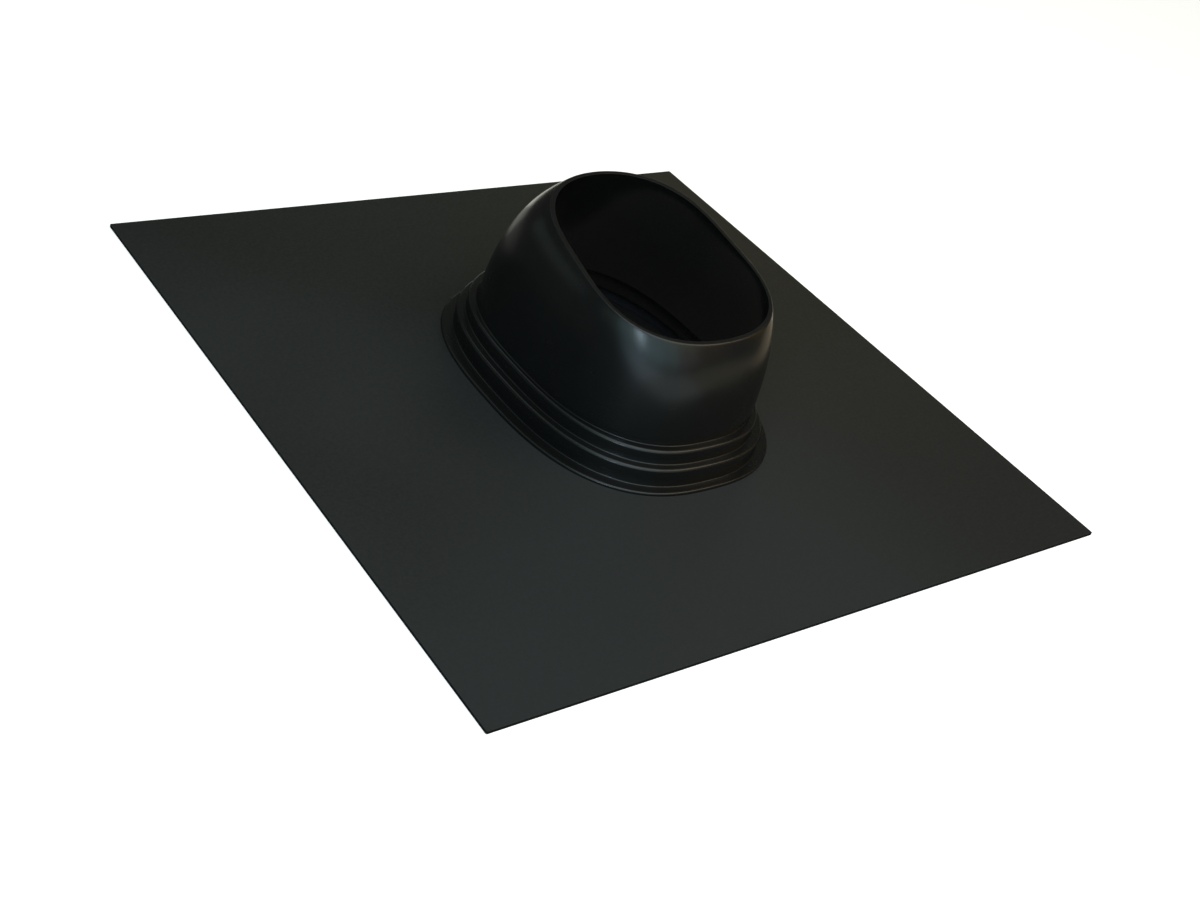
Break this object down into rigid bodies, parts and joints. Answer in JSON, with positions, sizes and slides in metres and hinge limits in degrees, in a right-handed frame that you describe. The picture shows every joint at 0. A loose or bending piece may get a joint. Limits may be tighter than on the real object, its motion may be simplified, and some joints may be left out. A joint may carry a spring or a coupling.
{
  "type": "pipe flashing boot",
  "caption": "Square flexible roofing sheet with a hollow stepped oval boot on it, sawn off at a slope so that a vent or flue pipe can pass up through it at the pitch of the roof.",
  "frame": {"origin": "centre of the sheet's underside, in the plane that lies on the roof", "axes": "+Z out of the weather side, +Y along the boot's long axis towards the high end of its mouth, which is the down-slope side on a roof, +X to the right"},
  "size_m": [0.5, 0.5, 0.1278],
  "materials": {
    "sheet": "satin",
    "boot": "semi-gloss"
  },
  "bodies": {
    "root": {"flashing_sheet": "sheet", "boot": "boot"}
  },
  "joints": []
}
